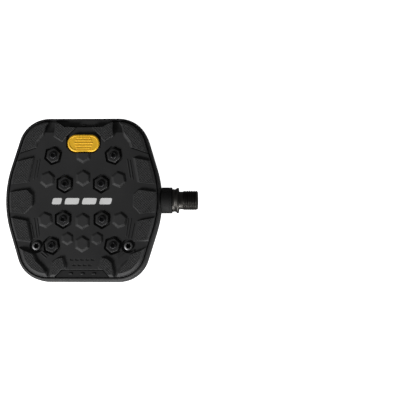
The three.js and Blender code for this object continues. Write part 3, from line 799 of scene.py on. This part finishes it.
def face_features():
    """What one face's recess, lands, bosses and pips are made of."""
    recess = stacked(outline, [(RIM_WIDTH, DECK_Z), (RIM_WIDTH, RIM_Z - 0.1), (RIM_WIDTH - 0.1, RIM_Z + 0.02),
                               (RIM_WIDTH - 0.1, RIM_Z + 2)])
    pips = [pip(step * PIPS["pitch"], end * PIPS["y"]) for end in (1, -1) for step in (-1, 0, 1)]
    return recess, together([land(1), land(-1)]), together([boss(s) for s in stud_spots]), together(pips)


def spindle_bore():
    """The stepped bore for the bearings, about the platform's centre."""
    sleeve_room = SLEEVE["radius"] + 0.4
    profile = [
        (2, sleeve_room), (SLEEVE["shoulder"] - GAP, sleeve_room),
        (SLEEVE["shoulder"] - GAP, SLEEVE["thread"] + GAP), (SLEEVE["inner"] - GAP, SLEEVE["thread"] + GAP),
        (SLEEVE["inner"] - GAP, BORE["radius"]), (BORE["seat"], BORE["radius"]), (BORE["seat"], BORE["nut"]),
        (BORE["end"], BORE["nut"]),
    ]
    return turned([(x - PLATFORM_X, radius) for x, radius in profile])


def platform_shell():
    profile = [(inset, -z) for inset, z in SIDE_WALL] + [(inset, z) for inset, z in reversed(SIDE_WALL[:-1])]
    recess, lands, bosses, pips = face_features()
    within = stacked(outline, [(1.0, -FAR_Z), (1.0, FAR_Z)])
    barrel = turned([(-HALF_WIDTH + 4, BARREL_RADIUS), (HALF_WIDTH - 2, BARREL_RADIUS)])
    pin_holes = together([prism(circle(x, y, PIN["hole"]), PIN["bottom"] - GAP, FAR_Z)
                          for x, y, _ in stud_spots])
    insert_holes = together([prism(circle(x, y, INSERT_HOLE["radius"], 24), INSERT_HOLE["bottom"],
                                   INSERT_HOLE["top"]) for x, y, _ in screw_spots])
    steps = []
    for turn in (tuple, overturned):
        steps.append(("DIFFERENCE", turn(recess)))
        steps.append(("UNION", combine("lands", turn(lands), [("INTERSECT", within)])))
        steps += [("UNION", turn(bosses)), ("UNION", turn(pips))]
    steps.append(("UNION", barrel))
    for turn in (tuple, overturned):
        steps += [("DIFFERENCE", turn(pin_holes)), ("DIFFERENCE", turn(insert_holes))]
    steps.append(("DIFFERENCE", spindle_bore()))
    return combine("moulded_platform_body", stacked(outline, profile), steps)


finished(platform_shell(), "platform", FINISH["composite"], ["platform_body"], 30, PLATFORM_X)

# ---- badges and print ---------------------------------------------------------------------------


def badge_rib(step):
    """One of the fine ribs, shorter the further it is from the badge's middle."""
    top, width = BADGE["top"], BADGE_RIBS["width"]
    y = BADGE["y"] + BADGE_RIBS["pitch"] * step
    length = BADGE_RIBS["length"] - BADGE_RIBS["shrink"] * abs(step)
    return stacked(lambda inset: stadium(0, y, length - 2 * inset, width - 2 * inset, 6), [
        (0, top - 0.6), (0, top - 0.1), (0.2, top + 0.05)])


def badge():
    """A pill-shaped inlay with a crowned edge and five fine ribs."""
    floor, top = BADGE["floor"], BADGE["top"]
    plate = stacked(badge_plan, [
        (0, floor), (0, top - 0.8), (0.12, top - 0.4), (0.4, top - 0.12), (0.9, top), (1.2, top),
        (1.45, top - 0.25), (1.6, top - 0.25)])
    return combine("badge", plate, [("UNION", together([badge_rib(step) for step in (-2, -1, 0, 1, 2)]))])


top_and_bottom("badge", badge(), FINISH["amber_badge"])


def print_bars():
    """A plain row of slanted white bars, standing a hair above the pad."""
    low, high, slant = PRINT["low"], PRINT["high"], PRINT["slant"]
    bars = []
    for start, end in PRINT_BARS:
        corners = [(start, low), (end - slant, low), (end, high), (start + slant, high)]
        bars.append(stacked(lambda inset, c=corners: rounded(polygon_offset(c, inset), PRINT["corner"], 5),
                            [(0, FIELD_Z - 0.1), (0, FIELD_Z + 0.05), (0.06, FIELD_Z + 0.08)]))
    return mesh_object("print", together(bars))


for side, turn in FACES.items():
    bars = print_bars()
    bars.name = f"print_bars_{side}"
    bars.data.transform(turn)
    finished(bars, "platform", FINISH["pad_print"], (), 32, PLATFORM_X)

# ---- screws and grip pins -----------------------------------------------------------------------


def pad_screw(x, y):
    top, radius, socket = SCREW_HEAD["top"], SCREW_HEAD["radius"], SCREW_HEAD["recess"]
    head = stacked(lambda inset: circle(x, y, radius - inset, 40), [
        (0, SCREW_HEAD["floor"]), (0, top - 0.9), (0.12, top - 0.5), (0.45, top - 0.2), (1.0, top - 0.04),
        (1.3, top)])
    bottom = SCREW_SHANK["bottom"]
    shank = stacked(lambda inset: circle(x, y, SCREW_SHANK["radius"] - inset, 24), [
        (0.4, bottom), (0, bottom + 0.4), (0, SCREW_SHANK["top"])])
    recess = stacked(lambda inset: lobes(x, y, socket - inset), [
        (0.5, top - 2.9), (0, top - 2.5), (0, top - 0.15), (-0.12, top + 0.05), (-0.12, top + 1)])
    return combine("screw", head, [("UNION", shank), ("DIFFERENCE", recess)])


def grip_pin(x, y):
    radius, socket, bottom = PIN["radius"], PIN["socket"], PIN["bottom"]
    shaft = stacked(lambda inset: circle(x, y, radius - inset, 40), [
        (0.4, bottom), (0, bottom + 0.4), (0, PIN_Z - 0.7), (0.1, PIN_Z - 0.35), (0.32, PIN_Z - 0.1),
        (0.62, PIN_Z)])
    recess = stacked(lambda inset: lobes(x, y, socket - inset), [
        (0.3, PIN_Z - 1.3), (0, PIN_Z - 1.0), (0, PIN_Z - 0.2), (-0.2, PIN_Z + 0.02), (-0.2, PIN_Z + 1)])
    return combine("pin", shaft, [("DIFFERENCE", recess)])


def fastener_set(make, spots, name, node, material):
    for index, (x, y, _) in enumerate(spots, 1):
        for side, turn in FACES.items():
            made = make(x, y)
            made.name = f"{name}_{side}_{index}"
            made.data.transform(turn)
            finished(made, "platform", material, [f"{node}_{side}_{index}"], 35, PLATFORM_X)


fastener_set(pad_screw, screw_spots, "socket_screw", "pad_screw", FINISH["screw_steel"])
fastener_set(grip_pin, stud_spots, "traction_pin", "grip_pin", FINISH["pin_steel"])

# ---- spindle and sleeve -------------------------------------------------------------------------


def thread_radius(x, angle):
    """The left-hand thread's radius at a place along and round the spindle, tapered off at its ends."""
    start, end, crest = SPINDLE["thread"]
    turn = (x / THREAD["pitch"] + angle / (2 * math.pi)) % 1
    tooth = min(max((abs(2 * turn - 1) - THREAD["flat"]) / (1 - 2 * THREAD["flat"]), 0), 1)
    radius = crest - THREAD["depth"] * (1 - tooth)
    run_out = SPINDLE["relief"] + 0.9 * max(x - start + THREAD["lead_in"], 0)
    chamfer = 6.0 + 1.1 * (end - x)
    return min(radius, run_out, chamfer)


def key_socket(end):
    """The hexagonal socket in the spindle's crank end, with a chamfered mouth."""
    flats, depth = SPINDLE["key"]
    rings = []
    for x, across in ((end - depth, flats - 0.8), (end - depth + 0.5, flats), (end - 0.4, flats),
                      (end + 0.1, flats + 0.9), (end + 1, flats + 0.9)):
        corner = across / math.sqrt(3)
        angles = [math.pi * i / 3 for i in range(6)]
        rings.append([(x, corner * math.cos(a), corner * math.sin(a)) for a in angles])
    return loft(rings)


def spindle():
    start, end, _ = SPINDLE["thread"]
    relief, seat = SPINDLE["relief"], SPINDLE["seat"]
    flange, thickness = SPINDLE["flange"]
    collar, collar_end = SPINDLE["collar"]
    journal, journal_end = SPINDLE["journal"]
    shaft, shaft_end = SPINDLE["shaft"]
    nut, nut_end = SPINDLE["nut_thread"]
    seat_start = BEARING_MIDDLE - BEARING_WIDTH / 2
    length = end - start + THREAD["lead_in"]
    steps = int(length / THREAD["pitch"] * THREAD["steps"])
    angles = [2 * math.pi * i / SPINDLE_SEGMENTS for i in range(SPINDLE_SEGMENTS)]
    rings = []
    for k in range(steps + 1):
        x = end - length * k / steps
        radii = [thread_radius(x, a) for a in angles]
        rings.append([(x, r * math.cos(a), r * math.sin(a)) for r, a in zip(radii, angles)])
    profile = [
        (2.2, relief), (0.5, relief), (0.15, relief + 0.12), (0, relief + 0.5), (0, flange - 0.45),
        (-0.12, flange - 0.15), (-0.42, flange), (-0.9, flange), (-1.2, flange - 0.12),
        (-thickness - 0.2, flange - 0.62), (-2.3, collar - 0.05), (-3.2, collar - 0.2), (-3.9, collar),
        (collar_end + 0.2, collar), (collar_end, collar - 0.2), (collar_end, journal + 0.2),
        (collar_end - 0.2, journal), (journal_end, journal), (journal_end - 0.8, journal - 0.3),
        (shaft_end + 1, shaft), (shaft_end + 0.2, shaft), (shaft_end, shaft - 0.2), (shaft_end, seat),
        (seat_start, seat), (seat_start - 0.4, nut), (nut_end + 0.5, nut), (nut_end, nut - 0.5),
    ]
    rings += [circle_ring(x, radius, SPINDLE_SEGMENTS) for x, radius in profile]
    return combine("turned_spindle", loft(rings), [("DIFFERENCE", key_socket(end))])


def sleeve():
    radius, thread, bore, seal = SLEEVE["radius"], SLEEVE["thread"], SLEEVE["bore"], SLEEVE["seal"]
    outer, shoulder, inner = SLEEVE["outer"], SLEEVE["shoulder"], SLEEVE["inner"]
    seal_floor = outer - 3.9
    profile = [
        (seal_floor, seal), (outer, seal + 0.05), (outer, radius - 0.35), (outer - 0.12, radius - 0.1),
        (outer - 0.4, radius), (outer - 1.5, radius), (outer - 1.6, radius - 0.12),
        (outer - 1.75, radius - 0.12), (outer - 1.85, radius), (shoulder, radius), (shoulder, thread),
        (inner + 0.5, thread), (inner, thread - 0.5), (inner, bore), (seal_floor, bore),
    ]
    rings = [circle_ring(x, r, SPINDLE_SEGMENTS) for x, r in profile]
    return mesh_object("turned_sleeve", loft(rings, closed=True))


finished(spindle(), "spindle", FINISH["spindle_steel"], ["spindle"], 32)
finished(sleeve(), "platform", FINISH["sleeve_black"], ["retaining_sleeve"], 30)

# ---- the parts that keep their shape ------------------------------------------------------------

for part in frame["record"]["subparts"]:
    for holder in frame["nodes"][part["node"]].material_slots:
        holder.material = FINISH[part["material_slot"]]

# ---- floor, camera and light, in metres ---------------------------------------------------------

FLOOR_Z = -0.064                # clear of the platform at every angle
FLOOR_REACH = 6
floor_corners = [(x * FLOOR_REACH, y * FLOOR_REACH, FLOOR_Z) for x, y in ((-1, -1), (1, -1), (1, 1), (-1, 1))]
floor_mesh = bpy.data.meshes.new("floor")
floor_mesh.from_pydata(floor_corners, [], [(0, 1, 2, 3)])
floor = bpy.data.objects.new("floor", floor_mesh)
bpy.context.scene.collection.objects.link(floor)
pale = bpy.data.materials.new("floor_pale")
pale.use_nodes = True
pale_inputs = pale.node_tree.nodes["Principled BSDF"].inputs
pale_inputs["Base Color"].default_value = (0.9, 0.9, 0.9, 1)
pale_inputs["Roughness"].default_value = 0.9
pale_inputs["Emission Color"].default_value = (1, 1, 1, 1)
pale_inputs["Emission Strength"].default_value = 0.9
floor_mesh.materials.append(pale)
floor.visible_glossy = False

VIEW_ELEVATION = math.radians(84)
VIEW_TILT = math.radians(2.5)   # the camera stands this far over towards the crank
VIEW_DISTANCE = 1.02
VIEW_WIDTH = 0.2857             # what the frame spans at the spindle's height
LOOK_AT = Vector((0.0151, 0.00035, 0))
SENSOR_WIDTH = 36

camera_data = bpy.data.cameras.new("camera")
camera_data.sensor_width = SENSOR_WIDTH
camera_data.lens = SENSOR_WIDTH * VIEW_DISTANCE / VIEW_WIDTH
camera = bpy.data.objects.new("camera", camera_data)
bpy.context.scene.collection.objects.link(camera)
toward = Vector((math.sin(VIEW_TILT), -math.cos(VIEW_ELEVATION), math.sin(VIEW_ELEVATION))).normalized()
sideways = (Vector((1, 0, 0)) - toward * toward.x).normalized()
camera.location = LOOK_AT + toward * VIEW_DISTANCE
camera.rotation_euler = Matrix((sideways, toward.cross(sideways), toward)).transposed().to_euler()
bpy.context.scene.camera = camera

LIGHT_AIM = Vector((-0.05, 0, 0))


def softbox(name, place, size, watts):
    """A rectangular light that faces the platform."""
    data = bpy.data.lights.new(name, "AREA")
    data.shape = "RECTANGLE"
    data.size, data.size_y = size
    data.energy = watts
    lamp = bpy.data.objects.new(name, data)
    bpy.context.scene.collection.objects.link(lamp)
    lamp.location = place
    lamp.rotation_euler = (Vector(place) - LIGHT_AIM).to_track_quat("Z", "Y").to_euler()


softbox("key", (-0.95, -0.85, 0.68), (0.55, 0.35), 21)
softbox("rear", (0.45, -1.25, 0.10), (1.5, 0.16), 27)

world = bpy.data.worlds.new("studio")
world.use_nodes = True
world.node_tree.nodes["Background"].inputs["Color"].default_value = (1, 1, 1, 1)
world.node_tree.nodes["Background"].inputs["Strength"].default_value = 0.14
bpy.context.scene.world = world
bpy.context.scene.view_settings.view_transform = "Standard"
